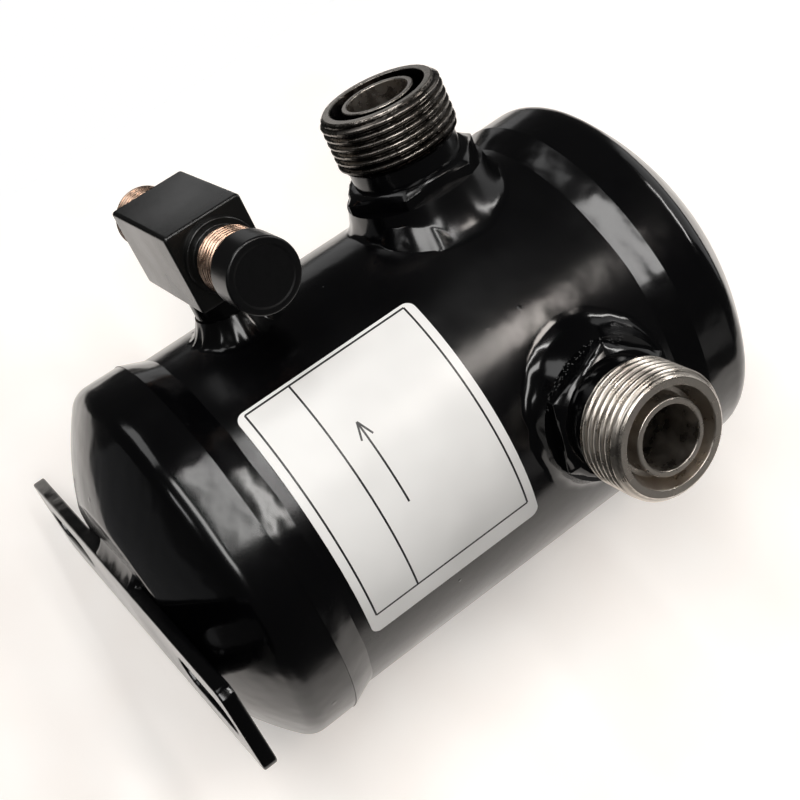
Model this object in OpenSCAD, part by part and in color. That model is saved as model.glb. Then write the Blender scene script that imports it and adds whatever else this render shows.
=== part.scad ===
// Refrigeration oil separator: welded steel vessel on a foot strap, outlet union on -X,
// inlet union on -Y, and an oil-return block low on the outlet side.
// The frame is upright: +Z runs up the vessel and z = 0 is the underside of the foot strap.

/* [Vessel] */
// outside diameter of the shell tube
tube_d = 98; // [90:0.5:110]
// wall of the shell tube
tube_wall = 2.5; // [1.5:0.1:4]
// length of the shell tube
tube_l = 131; // [125:1:170]
// wall of the pressed end caps
cap_wall = 2.5; // [1.5:0.1:3.5]
// slip clearance between tube and cap skirt
cap_clear = 0.1; // [0.05:0.05:0.3]
// straight skirt of a cap
cap_skirt = 9; // [7:0.5:14]
// outside knuckle radius of a cap
cap_knuckle = 6.3; // [5:0.1:9]
// height of a cap's dish below its skirt
cap_dish = 17.2; // [13:0.2:22]
// outside crown radius of the dish
cap_crown_r = 77; // [70:1:95]
// gap kept between the tube's end and the start of the knuckle
tube_end_gap = 0.8; // [0.4:0.1:2]
// length of the ramped seam weld on the tube
seam_l = 7; // [4:0.5:8]

/* [Foot] */
// length of the foot strap
foot_l = 138; // [130:1:160]
// width of the foot strap
foot_w = 24; // [20:0.5:32]
// thickness of the foot strap
foot_t = 3.5; // [2.5:0.1:6]
// corner radius of the strap
foot_corner = 3; // [1:0.5:6]
// distance between the slot centres
slot_span = 98; // [94:1:102]
// end-to-end length of a slot
slot_l = 30; // [16:1:33]
// width of a slot
slot_w = 9; // [6:0.5:11]
// length of each foot weld
foot_weld_l = 28; // [16:1:34]
// leg of each foot weld
foot_weld_leg = 3; // [2:0.1:3.4]

/* [Unions] */
// drop of both unions' axes below the top cap's rim
port_drop = 29.8; // [29.4:0.2:34]
// end of the outlet union from the shell's surface
outlet_stand = 29.5; // [26:0.5:36]
// end of the inlet union from the shell's surface
inlet_stand = 27; // [26:0.5:36]
// major diameter of the union thread
thread_d = 31.75; // [28:0.05:34]
// length of the union thread
thread_l = 15; // [12:0.5:16]
// chamfer at the thread's end
thread_chamfer = 1.6; // [0.8:0.1:2]
// diameter of the relief behind the thread
relief_d = 28.4; // [26:0.1:29]
// length of the relief behind the thread
relief_l = 4.4; // [2:0.2:5]
// width of the hex across its flats
hex_af = 32; // [31:0.5:33.5]
// height of the hex
hex_h = 4.6; // [3.5:0.1:5]
// chamfer on the hex's outer face
hex_chamfer = 1.4; // [0.6:0.1:1.8]
// turn of the outlet union's hex in degrees
outlet_hex_turn = 55; // [0:1:60]
// turn of the inlet union's hex in degrees
inlet_hex_turn = 50; // [0:1:60]
// bore through the union
port_bore = 15.9; // [12:0.1:16.5]
// outside diameter of the inner ring in the end face
ring_d = 18.8; // [18:0.1:20]
// mouth of the groove round the inner ring
groove_d = 24.9; // [23:0.1:26]
// floor of the groove round the inner ring
groove_floor_d = 22; // [20.5:0.1:23]
// depth of the groove
groove_depth = 6; // [3:0.5:8]
// setback of the inner ring below the end face
ring_setback = 0.3; // [0.1:0.1:1]
// spigot that passes the shell wall
spigot_d = 26; // [24.5:0.1:27]
// length of the spigot's shoulder inside the shell
spigot_in_l = 3.5; // [2:0.1:5]
// toe of the union weld on the shell's tangent plane
union_toe_d = 42.5; // [40:0.5:46]

/* [Oil return] */
// height of the oil-return neck
neck_z = 57.2; // [54:0.2:62]
// outside diameter of the neck
neck_d = 16; // [14:0.2:18]
// bore of the neck
neck_bore = 10.2; // [9:0.1:11]
// toe of the neck weld
neck_toe_d = 25; // [21:0.5:28]
// height of the neck weld up the neck
neck_weld_h = 5; // [3:0.2:7]
// near face of the block from the shell's surface
block_stand = 13.1; // [11:0.1:21]
// side of the square block
block_s = 20.2; // [18:0.1:24]
// length of the square block
block_l = 35.5; // [30:0.5:44]
// edge break on the block
block_edge = 0.8; // [0.3:0.1:1.5]
// diameter of the shoulder at the block's ends
shoulder_d = 17.6; // [17:0.1:18]
// length of the shoulder
shoulder_l = 1.6; // [1:0.1:3]
// diameter of the plain run up to the thread
stub_root_d = 14; // [12:0.1:14.6]
// length of the plain run up to the thread
stub_root_l = 2.9; // [2:0.1:5]
// major diameter of the return thread
stub_d = 15.875; // [15:0.005:16.5]
// length of the near end's thread
stub_near_l = 17.7; // [14:0.1:22]
// length of the far end's thread
stub_far_l = 12.7; // [10:0.1:18]
// drilling through the block
block_bore = 7; // [5:0.1:8]
// seat diameter at the flared nose
nose_d = 9.2; // [8.6:0.1:11]
// diameter of the plain tip ahead of the thread
tip_d = 13.8; // [12.5:0.1:14.5]
// length of the plain tip with its cone
tip_l = 2.6; // [2.4:0.1:3.6]
// wall of the push-on cap
dust_wall = 0.7; // [0.5:0.1:1.5]
// running clearance of the cap on the thread
dust_clear = 0.06; // [0.03:0.01:0.1]
// length of thread that the cap covers
dust_cover = 7; // [5:0.5:9]
// end wall of the cap
dust_end = 1.5; // [1:0.1:2.5]
// space between the thread's end and the cap's end wall
dust_space = 0.4; // [0.3:0.1:1]
// edge rounding of the cap
dust_edge = 1; // [0.5:0.1:1.4]

/* [Label] */
// width of the label round the shell
label_w = 64.6; // [40:0.2:66]
// gap between the label's lower edge and the seam weld
label_gap_lo = 2.8; // [1:0.1:12]
// gap between the label's upper edge and the toe of the union welds
label_gap_up = 3.55; // [1.5:0.05:12]
// direction of the label's middle
label_turn = 251; // [246:1:254]
// thickness of the label
label_t = 0.2; // [0.1:0.05:0.4]
// layer of adhesive under the label
label_glue = 0.05; // [0.02:0.01:0.2]
// corner radius of the label
label_corner = 2; // [1:0.5:6]

/* [Inside] */
// outside diameter of the screens
screen_d = 24; // [23:0.2:25]
// wall of the screens
screen_wall = 0.8; // [0.5:0.1:1.2]
// length of the screens
screen_l = 26; // [20:0.5:28]
// length of spigot that a screen grips
screen_grip = 4; // [3:0.5:5]
// slip clearance of a screen on its spigot
screen_clear = 0.05; // [0.03:0.01:0.1]
// drop of the sump baffle below the unions' axes
baffle_drop = 22.5; // [18:0.5:24]
// thickness of the sump baffle
baffle_t = 1.5; // [1:0.1:3]
// gap between baffle and tube
baffle_gap = 0.3; // [0.2:0.1:0.8]
// drain hole diameter in the baffle
baffle_hole = 9; // [5:0.5:12]
// diameter of the float ball
ball_d = 36; // [30:0.5:38]
// wall of the float ball
ball_wall = 0.8; // [0.5:0.1:1.5]
// reach of the float from the lever's pivot
ball_reach = 39; // [36:0.5:42]
// pivot's height above the needle's axis
pivot_up = 10; // [9.5:0.1:11]
// diameter of the pivot pin
pin_d = 3; // [2:0.1:3.4]
// running clearance on the pin and needle
run_clear = 0.05; // [0.02:0.01:0.1]
// diameter of the needle
needle_d = 6; // [5:0.1:6.4]
// diameter of the valve's orifice
orifice_d = 2.4; // [1.5:0.1:3]
// swing of the float lever in degrees
float_swing = 12; // [4:1:12]

/* [Hidden] */
$fn = 96;
tube_r = tube_d / 2;
bore_r = tube_r - tube_wall;
cap_in_r = tube_r + cap_clear;
cap_r = cap_in_r + cap_wall;
cap_lo = foot_t + cap_dish;
tube_lo = cap_lo + tube_end_gap;
tube_hi = tube_lo + tube_l;
cap_hi = tube_hi + tube_end_gap;
top_z = cap_hi + cap_dish;
rim_lo = cap_lo + cap_skirt;
rim_hi = cap_hi - cap_skirt;
port_z = rim_hi - port_drop;
outlet_reach = tube_r + outlet_stand;
inlet_reach = tube_r + inlet_stand;
block_in = tube_r + block_stand;
baffle_z = port_z - baffle_drop;
label_z = rim_lo + seam_l + label_gap_lo;
label_h = port_z - union_toe_d / 2 - label_gap_up - label_z;

// crown centre of a dish and the angle where it leaves the knuckle
dish_sin = (cap_r - cap_knuckle) / (cap_crown_r - cap_knuckle);
dish_ang = asin(dish_sin);
dish_cz = (cap_crown_r - cap_knuckle) * cos(dish_ang);
flat_r = sqrt(pow(cap_crown_r, 2) - pow(dish_cz + cap_dish, 2));
flat_ang = asin(flat_r / cap_crown_r);
in_crown_r = cap_crown_r - cap_wall;
in_flat_ang = acos((dish_cz + cap_dish - cap_wall) / in_crown_r);

thread_r = thread_d / 2;
hex_r = hex_af / 2 / cos(30);
hex_face_in = 0.6;
hex_face_r = hex_af / 2 - hex_face_in;
hex_down = thread_l + relief_l;
spigot_r = spigot_d / 2;
spigot_in = bore_r - spigot_in_l;
grip_r = screen_d / 2 - screen_wall - screen_clear;
toe_r = union_toe_d / 2;
mesh_d = 3.2;
mesh_first = 5;
mesh_step = 5.5;

stub_r = stub_d / 2;
stub_start = block_l / 2 + shoulder_l + stub_root_l;
near_end = stub_start + stub_near_l;
far_end = stub_start + stub_far_l;
block_mid = block_in + block_s / 2;
dust_in_r = stub_r + dust_clear;
dust_r = dust_in_r + dust_wall;
dust_rim = near_end - dust_cover;
dust_face = near_end + dust_space + dust_end;

// float valve, along X at the neck's height
seat_in = 4.5;
guide_l = 6;
lever_gap = 5;
seat_x = -(bore_r - seat_in);
nose_x = seat_x + guide_l;
needle_r = needle_d / 2;
guide_r = needle_r + run_clear;
body_r = neck_bore / 2 - run_clear;
body_grip = 2;
seat_t = 3;
bleed_d = 1.6;
lever_x = nose_x + lever_gap;
pivot_z = neck_z + pivot_up;
pin_r = pin_d / 2;
pin_past = 0.75;
hub_wall = 1.8;
hub_r = pin_r + hub_wall;
hub_gap = 0.8;
fork_t = 3;
fork_w = 8;
fork_past = 1.2;
fork_gap = 0.6;
fork_room = fork_t + 2 * needle_r * tan(float_swing) + fork_gap;
stem_r = needle_r / 2;
stem_gap = 0.4;
collar_l = 1.5;
ear_y = 6.5;
ear_t = 1.5;
back_in = 2.5;
back_t = 1.5;
back_edge = 2;
ear_edge = 1;
ball_r = ball_d / 2;
boss_d = 5;
arm_h = 3;
arm_w = 4;
arm_past = 3;
ball_z = pivot_z - arm_h / 2 - ball_r;
ball_x = lever_x + ball_reach;

// turns a shape built up +Z so that it points along -X (outlet) or -Y (inlet)
module to_outlet() { translate([0, 0, port_z]) rotate([0, -90, 0]) children(); }
module to_inlet() { translate([0, 0, port_z]) rotate([90, 0, 0]) children(); }
module to_neck() { translate([0, 0, neck_z]) rotate([0, -90, 0]) children(); }

// section of a pressed cap: flat crown at height 0, skirt rim on top
module cap_section() {
    k = cap_knuckle;
    ki = cap_knuckle - cap_wall;
    steps = 10;
    outer = concat(
        [[0, 0]],
        [for (i = [0 : steps]) let (a = flat_ang + (dish_ang - flat_ang) * i / steps)
            [cap_crown_r * sin(a), cap_dish + dish_cz - cap_crown_r * cos(a)]],
        [for (i = [1 : steps]) let (a = dish_ang + (90 - dish_ang) * i / steps)
            [cap_r - k + k * sin(a), cap_dish - k * cos(a)]],
        [[cap_r, cap_dish + cap_skirt]]);
    inner = concat(
        [[cap_in_r, cap_dish + cap_skirt]],
        [for (i = [steps : -1 : 1]) let (a = dish_ang + (90 - dish_ang) * i / steps)
            [cap_r - k + ki * sin(a), cap_dish - ki * cos(a)]],
        [for (i = [steps : -1 : 0]) let (a = in_flat_ang + (dish_ang - in_flat_ang) * i / steps)
            [in_crown_r * sin(a), cap_dish + dish_cz - in_crown_r * cos(a)]],
        [[0, cap_wall]]);
    polygon(concat(outer, inner));
}

module shell_tube() {
    color([0.03, 0.03, 0.03])
    difference() {
        translate([0, 0, tube_lo]) cylinder(r = tube_r, h = tube_l);
        translate([0, 0, tube_lo - 1]) cylinder(r = bore_r, h = tube_l + 2);
        to_outlet() cylinder(r = spigot_r, h = tube_d);
        to_inlet() cylinder(r = spigot_r, h = tube_d);
        to_neck() cylinder(d = neck_d, h = tube_d);
    }
}

module bottom_cap() {
    color([0.03, 0.03, 0.03])
    translate([0, 0, foot_t]) rotate_extrude() cap_section();
}

module top_cap() {
    color([0.03, 0.03, 0.03])
    translate([0, 0, top_z]) mirror([0, 0, 1]) rotate_extrude() cap_section();
}

// ring weld from a cap's rim to the tube, a ramp with soft ends
module seam_section() {
    w = cap_r - tube_r;
    polygon([[tube_r, 0], [cap_r, 0], [tube_r + 0.94 * w, 0.08 * seam_l],
        [tube_r + 0.1 * w, 0.86 * seam_l], [tube_r, seam_l]]);
}

module bottom_seam_weld() {
    color([0.03, 0.03, 0.03])
    translate([0, 0, rim_lo]) rotate_extrude() seam_section();
}

module top_seam_weld() {
    color([0.03, 0.03, 0.03])
    translate([0, 0, rim_hi]) mirror([0, 0, 1]) rotate_extrude() seam_section();
}

// rounded rectangle from squares and circles
module rounded_rect(w, l, r) {
    square([w - 2 * r, l], center = true);
    square([w, l - 2 * r], center = true);
    for (x = [-1, 1], y = [-1, 1]) translate([x * (w / 2 - r), y * (l / 2 - r)]) circle(r);
}

module slot_2d() {
    square([slot_w, slot_l - slot_w], center = true);
    for (y = [-1, 1]) translate([0, y * (slot_l - slot_w) / 2]) circle(d = slot_w);
}

module foot_strap() {
    color([0.03, 0.03, 0.03])
    linear_extrude(foot_t)
    difference() {
        rounded_rect(foot_w, foot_l, foot_corner);
        for (y = [-1, 1]) translate([0, y * slot_span / 2]) slot_2d();
    }
}

// fillet welds under the flat crown, along the strap's long edges
module foot_welds() {
    color([0.05, 0.05, 0.05])
    for (s = [0, 1]) mirror([s, 0, 0])
        translate([-foot_w / 2, foot_weld_l / 2, foot_t])
        rotate([90, 0, 0])
        linear_extrude(foot_weld_l)
        polygon([[0, 0], [-foot_weld_leg, 0], [-0.42 * foot_weld_leg, -0.42 * foot_weld_leg],
            [0, -foot_weld_leg]]);
}

// hex union, built up +Z from the vessel's axis with its end face at reach
module union_body(reach, turn) {
    c = thread_chamfer;
    hex_top = reach - hex_down;
    hex_bot = hex_top - hex_h;
    br = port_bore / 2;
    rotate_extrude()
    polygon([[br, spigot_in - screen_grip], [grip_r, spigot_in - screen_grip], [grip_r, spigot_in],
        [spigot_r, spigot_in], [spigot_r, hex_bot + 0.5], [relief_d / 2, hex_bot + 0.5],
        [relief_d / 2, reach - thread_l], [thread_r, reach - thread_l + (thread_r - relief_d / 2)],
        [thread_r, reach - c], [thread_r - c, reach], [groove_d / 2, reach],
        [groove_floor_d / 2, reach - groove_depth], [ring_d / 2, reach - groove_depth],
        [ring_d / 2, reach - ring_setback], [br, reach - ring_setback]]);
    difference() {
        intersection() {
            translate([0, 0, hex_bot]) rotate(turn) cylinder(r = hex_r, h = hex_h, $fn = 6);
            rotate_extrude()
            polygon([[0, hex_bot], [hex_r + 0.1, hex_bot],
                [hex_r + 0.1, hex_top - hex_chamfer - (hex_r + 0.1 - hex_af / 2) * 0.58],
                [hex_af / 2, hex_top - hex_chamfer], [hex_face_r, hex_top], [0, hex_top]]);
        }
        translate([0, 0, hex_bot - 1]) cylinder(r = br, h = hex_h + 2);
    }
}

module outlet_fitting() { color([0.4, 0.39, 0.38]) to_outlet() union_body(outlet_reach, outlet_hex_turn); }

module inlet_fitting() { color([0.4, 0.39, 0.38]) to_inlet() union_body(inlet_reach, inlet_hex_turn); }

// hollow fillet round a spigot of radius r_in: from radius r_top at height top
// to the toe on the shell's tangent plane, carried on down past the saddle's low sides
module fillet_section(r_in, r_top, top, toe) {
    low = sqrt(pow(tube_r, 2) - pow(toe + 4, 2)) - 1;
    drop = top - tube_r;
    steps = 6;
    polygon(concat([[r_in, low], [r_in, top]],
        [for (i = [0 : steps]) let (u = i / steps)
            [r_top + (toe - r_top) * u, top - drop * (1 - pow(1 - u, 1.6))]],
        [[toe + (tube_r - low) * 0.42, low]]));
}

module outlet_weld() {
    color([0.03, 0.03, 0.03])
    difference() {
        to_outlet() rotate_extrude()
            fillet_section(spigot_r, hex_r - 0.3, outlet_reach - hex_down - hex_h, toe_r);
        cylinder(r = tube_r, h = tube_hi);
    }
}

module inlet_weld() {
    color([0.03, 0.03, 0.03])
    difference() {
        to_inlet() rotate_extrude()
            fillet_section(spigot_r, hex_r - 0.3, inlet_reach - hex_down - hex_h, toe_r);
        cylinder(r = tube_r, h = tube_hi);
    }
}

module oil_return_neck() {
    color([0.03, 0.03, 0.03])
    to_neck()
    translate([0, 0, bore_r])
    difference() {
        cylinder(d = neck_d, h = block_in - bore_r);
        translate([0, 0, -1]) cylinder(d = neck_bore, h = block_in - bore_r + 2);
    }
}

module neck_weld() {
    color([0.03, 0.03, 0.03])
    difference() {
        to_neck() rotate_extrude()
            fillet_section(neck_d / 2, neck_d / 2 + 0.4, tube_r + neck_weld_h, neck_toe_d / 2);
        cylinder(r = tube_r, h = tube_hi);
    }
}

// threaded end of the block, up +Z from the block's middle
module stub(length) {
    tip = stub_start + length;
    n = nose_d / 2;
    t = tip_d / 2;
    rotate_extrude()
    polygon([[0, 0], [shoulder_d / 2, 0], [shoulder_d / 2, block_l / 2 + shoulder_l],
        [stub_root_d / 2, block_l / 2 + shoulder_l], [stub_root_d / 2, stub_start],
        [stub_r, stub_start + (stub_r - stub_root_d / 2)], [stub_r, tip - tip_l - (stub_r - t)],
        [t, tip - tip_l], [t, tip - (t - n)], [n, tip], [0, tip]]);
}

module return_block() {
    color([0.55, 0.42, 0.33])
    translate([-block_mid, 0, neck_z])
    difference() {
        union() {
            rotate([90, 0, 0])
            linear_extrude(block_l, center = true)
            difference() {
                square(block_s, center = true);
                for (a = [0 : 90 : 270]) rotate(a) translate([block_s / 2, block_s / 2])
                    rotate(45) square(block_edge * sqrt(2), center = true);
            }
            rotate([90, 0, 0]) stub(stub_near_l);
            rotate([-90, 0, 0]) stub(stub_far_l);
        }
        translate([0, far_end + 1, 0]) rotate([90, 0, 0])
            cylinder(d = block_bore, h = near_end + far_end + 2);
        rotate([0, 90, 0]) cylinder(d = block_bore, h = block_s);
    }
}

// push-on cap over the near end's thread
module return_cap() {
    color([0.05, 0.05, 0.05])
    translate([-block_mid, 0, neck_z])
    rotate([90, 0, 0])
    rotate_extrude()
    polygon([[0, near_end + dust_space], [dust_in_r, near_end + dust_space], [dust_in_r, dust_rim],
        [dust_r, dust_rim], [dust_r, dust_face - dust_edge],
        [dust_r - 0.3 * dust_edge, dust_face - 0.3 * dust_edge], [dust_r - dust_edge, dust_face],
        [0, dust_face]]);
}

// sticker: a thin sleeve cut to a rounded outline that is thrown on the shell
module label() {
    chord = 2 * tube_r * sin(label_w / tube_r * 90 / PI);
    color([0.92, 0.92, 0.9])
    intersection() {
        difference() {
            cylinder(r = tube_r + label_glue + label_t, h = tube_hi);
            translate([0, 0, -1]) cylinder(r = tube_r + label_glue, h = tube_hi + 2);
        }
        rotate(label_turn - 270)
        translate([0, 0, label_z + label_h / 2])
        rotate([90, 0, 0])
        linear_extrude(tube_d)
        rounded_rect(chord, label_h, label_corner);
    }
}

// perforated cup, closed end towards the vessel's axis
module screen_cup() {
    r = screen_d / 2;
    open_z = spigot_in;
    difference() {
        translate([0, 0, open_z - screen_l]) cylinder(r = r, h = screen_l);
        translate([0, 0, open_z - screen_l + screen_wall])
            cylinder(r = r - screen_wall, h = screen_l);
        for (row = [0 : 2], a = [0 : 45 : 315])
            translate([0, 0, open_z - screen_l + mesh_first + row * mesh_step])
            rotate([0, 90, a + row * 22.5]) translate([0, 0, r - 2 * screen_wall])
                cylinder(d = mesh_d, h = 4 * screen_wall, $fn = 24);
    }
}

module inlet_screen() { color([0.6, 0.6, 0.58]) to_inlet() screen_cup(); }

module outlet_screen() { color([0.6, 0.6, 0.58]) to_outlet() screen_cup(); }

module sump_baffle() {
    color([0.5, 0.5, 0.5])
    translate([0, 0, baffle_z])
    difference() {
        cylinder(r = bore_r - baffle_gap, h = baffle_t);
        for (a = [0 : 60 : 300]) rotate(a) translate([bore_r * 0.62, 0, -1])
            cylinder(d = baffle_hole, h = baffle_t + 2);
    }
}

// brass seat: shank in the neck, nose inside the shell, needle guide in the nose
module valve_body() {
    shank_x = -(block_in - body_grip);
    color([0.72, 0.56, 0.28])
    difference() {
        translate([shank_x, 0, neck_z]) rotate([0, 90, 0]) cylinder(r = body_r, h = nose_x - shank_x);
        translate([shank_x - 1, 0, neck_z]) rotate([0, 90, 0])
            cylinder(d = orifice_d, h = nose_x - shank_x);
        translate([shank_x - 1, 0, neck_z]) rotate([0, 90, 0])
            cylinder(d = block_bore, h = seat_x - shank_x + 1 - seat_t);
        translate([seat_x, 0, neck_z]) rotate([0, 90, 0]) cylinder(r = guide_r, h = nose_x - seat_x + 1);
        translate([seat_x + 0.75 * bleed_d, 0, neck_z]) cylinder(d = bleed_d, h = 4 * body_r, center = true);
    }
}

// folded bracket: back plate round the nose and two ears for the pin
module pivot_bracket() {
    back_x = nose_x - back_in;
    ear_l = lever_x + hub_r + ear_edge - back_x;
    color([0.6, 0.6, 0.58])
    difference() {
        union() {
            translate([back_x, -ear_y - ear_t, neck_z - body_r - back_edge])
                cube([back_t, 2 * (ear_y + ear_t), pivot_up + body_r + back_edge + hub_r]);
            for (s = [-1, 1]) translate([back_x, s * (ear_y + ear_t / 2) - ear_t / 2, pivot_z - hub_r])
                cube([ear_l, ear_t, 2 * hub_r]);
        }
        translate([back_x - 1, 0, neck_z]) rotate([0, 90, 0]) cylinder(r = body_r, h = back_t + 2);
        translate([lever_x, 0, pivot_z]) rotate([90, 0, 0])
            cylinder(r = pin_r, h = 4 * ear_y, center = true);
    }
}

module pivot_pin() {
    color([0.7, 0.7, 0.7])
    translate([lever_x, 0, pivot_z]) rotate([90, 0, 0])
        cylinder(r = pin_r, h = 2 * (ear_y + ear_t + pin_past), center = true);
}

// bell crank: hub on the pin, forked short leg down to the needle, long leg to the float
module float_arm() {
    leg_low = neck_z - stem_r - fork_past;
    color([0.65, 0.65, 0.63])
    difference() {
        union() {
            translate([lever_x, 0, pivot_z]) rotate([90, 0, 0])
                cylinder(r = hub_r, h = 2 * (ear_y - hub_gap), center = true);
            translate([lever_x - fork_t / 2, -fork_w / 2, leg_low]) cube([fork_t, fork_w, pivot_z - leg_low]);
            translate([lever_x, -arm_w / 2, pivot_z - arm_h / 2]) cube([ball_reach + arm_past, arm_w, arm_h]);
        }
        translate([lever_x, 0, pivot_z]) rotate([90, 0, 0])
            cylinder(r = pin_r + run_clear, h = 4 * ear_y, center = true);
        translate([lever_x - fork_t, -stem_r - stem_gap, leg_low - 1])
            cube([2 * fork_t, 2 * (stem_r + stem_gap), neck_z + stem_r + fork_gap - leg_low + 1]);
    }
}

module float_ball() {
    color([0.7, 0.68, 0.62])
    translate([ball_x, 0, ball_z])
    difference() {
        union() {
            sphere(ball_r);
            cylinder(d = boss_d, h = ball_r);
        }
        sphere(ball_r - ball_wall);
    }
}

// needle: coned tip at the orifice, guided body, stem between two collars for the fork
module needle() {
    stem_a = lever_x - fork_room / 2;
    stem_b = lever_x + fork_room / 2;
    tip_r = orifice_d / 2 - 0.1;
    color([0.75, 0.75, 0.75])
    translate([0, 0, neck_z]) rotate([0, 90, 0]) rotate_extrude()
    polygon([[0, seat_x - 0.8], [tip_r - 0.5, seat_x - 0.8], [tip_r, seat_x], [needle_r, seat_x + 2.4],
        [needle_r, stem_a], [stem_r, stem_a], [stem_r, stem_b], [needle_r, stem_b],
        [needle_r, stem_b + collar_l], [0, stem_b + collar_l]]);
}

shell_tube();
top_cap();
bottom_cap();
top_seam_weld();
bottom_seam_weld();
foot_strap();
foot_welds();
outlet_fitting();
inlet_fitting();
outlet_weld();
inlet_weld();
oil_return_neck();
neck_weld();
return_block();
return_cap();
label();
inlet_screen();
outlet_screen();
sump_baffle();
valve_body();
pivot_bracket();
pivot_pin();
float_arm();
float_ball();
needle();
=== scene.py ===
import bmesh
import bpy
import numpy as np
from mathutils import Matrix, Vector


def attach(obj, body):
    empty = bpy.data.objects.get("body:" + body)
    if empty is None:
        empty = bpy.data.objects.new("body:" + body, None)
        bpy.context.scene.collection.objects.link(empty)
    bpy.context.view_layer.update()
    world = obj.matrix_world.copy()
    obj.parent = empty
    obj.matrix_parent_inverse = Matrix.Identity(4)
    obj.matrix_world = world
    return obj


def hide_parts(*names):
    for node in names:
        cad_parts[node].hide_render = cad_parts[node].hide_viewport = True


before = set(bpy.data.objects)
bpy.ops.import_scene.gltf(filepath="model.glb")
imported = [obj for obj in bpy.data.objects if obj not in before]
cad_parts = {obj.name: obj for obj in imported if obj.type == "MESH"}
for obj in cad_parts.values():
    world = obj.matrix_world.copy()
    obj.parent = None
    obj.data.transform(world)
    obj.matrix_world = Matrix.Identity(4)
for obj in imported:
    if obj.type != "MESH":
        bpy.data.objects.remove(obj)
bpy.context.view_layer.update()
mm = 0.001
tau = 2 * np.pi

# the sizes that the pieces share with the solids, in millimetres
vessel = dict(tubeR=49.0, capInR=49.1, capR=51.6, wall=2.5, knuckle=6.3, dish=17.2, crownR=77.0, skirt=9.0,
              crimp=0.14, footT=3.5, topZ=170.5, rimLo=29.7, rimHi=144.3, portZ=114.5, neckZ=57.2, turns=288)
# points closer than the first become one, faces thinner than the second go, in metres
joinM, thinM = 2e-6, 1e-7


# helpers: linear colour, shader nodes, grids
def linear(hexCode):
    s = np.array([int(hexCode[i:i + 2], 16) for i in (1, 3, 5)]) / 255
    return tuple(np.where(s <= 0.04045, s / 12.92, ((s + 0.055) / 1.055) ** 2.4)) + (1.0,)


def addNode(tree, kind, values=None, stops=None, **settings):
    # values are socket inputs: a number, a colour or another node's socket; stops are a colour ramp's places
    node = tree.nodes.new(kind)
    for field, setting in settings.items():
        setattr(node, field, setting)
    for key, value in (values or {}).items():
        if isinstance(value, bpy.types.NodeSocket):
            tree.links.new(value, node.inputs[key])
        else:
            node.inputs[key].default_value = value
    for place, colour in stops or ():
        first = place == stops[0][0]
        element = node.color_ramp.elements[0] if first else node.color_ramp.elements.new(place)
        element.position = place
        element.color = linear(colour)
    if stops:
        node.color_ramp.elements.remove(node.color_ramp.elements[-1])
    return node


def newMaterial(name):
    material = bpy.data.materials.new(name)
    material.use_nodes = True
    tree = material.node_tree
    place = addNode(tree, "ShaderNodeTexCoord").outputs["Object"]
    return material, tree, tree.nodes["Principled BSDF"], place


def gridFaces(rows, cols, wrapRows, wrapCols, first):
    # every cell of a grid is one quad: its corner and the next ones along the row and the column
    i = np.arange(rows if wrapRows else rows - 1)
    j = np.arange(cols if wrapCols else cols - 1)
    i, j = (a.ravel() for a in np.meshgrid(i, j, indexing="ij"))
    iNext, jNext = (i + 1) % rows, (j + 1) % cols
    return first + np.stack([i * cols + j, i * cols + jNext, iNext * cols + jNext, iNext * cols + j], 1)


def makePiece(name, patches, materials, body, nodes=(), sharpAngle=38, marks=None):
    # a patch is (points in mm as rows x cols x 3, rows wrap, cols wrap, material index)
    points, faces, index, first = [], [], [], 0
    for patch, wrapRows, wrapCols, materialIndex in patches:
        rows, cols = patch.shape[:2]
        quads = gridFaces(rows, cols, wrapRows, wrapCols, first)
        points.append(patch.reshape(-1, 3))
        faces.append(quads)
        index.append(np.full(len(quads), materialIndex))
        first += rows * cols
    points, faces, index = np.concatenate(points) * mm, np.concatenate(faces), np.concatenate(index)
    mesh = bpy.data.meshes.new(name)
    mesh.from_pydata(points.tolist(), [], faces.tolist())
    for material in materials:
        mesh.materials.append(material)
    mesh.polygons.foreach_set("material_index", index.astype(np.int32))
    for key, values in (marks or {}).items():
        layer = mesh.attributes.new(key, "FLOAT", "POINT")
        layer.data.foreach_set("value", np.ascontiguousarray(values, dtype=np.float32))
    work = bmesh.new()
    work.from_mesh(mesh)
    bmesh.ops.remove_doubles(work, verts=work.verts, dist=joinM)
    bmesh.ops.dissolve_degenerate(work, edges=work.edges, dist=thinM)
    bmesh.ops.recalc_face_normals(work, faces=work.faces)
    work.to_mesh(mesh)
    work.free()
    mesh.shade_smooth()
    mesh.set_sharp_from_angle(angle=np.radians(sharpAngle))
    piece = bpy.data.objects.new(name, mesh)
    bpy.context.scene.collection.objects.link(piece)
    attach(piece, body)
    if nodes:
        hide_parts(*nodes)
    return piece


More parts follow.
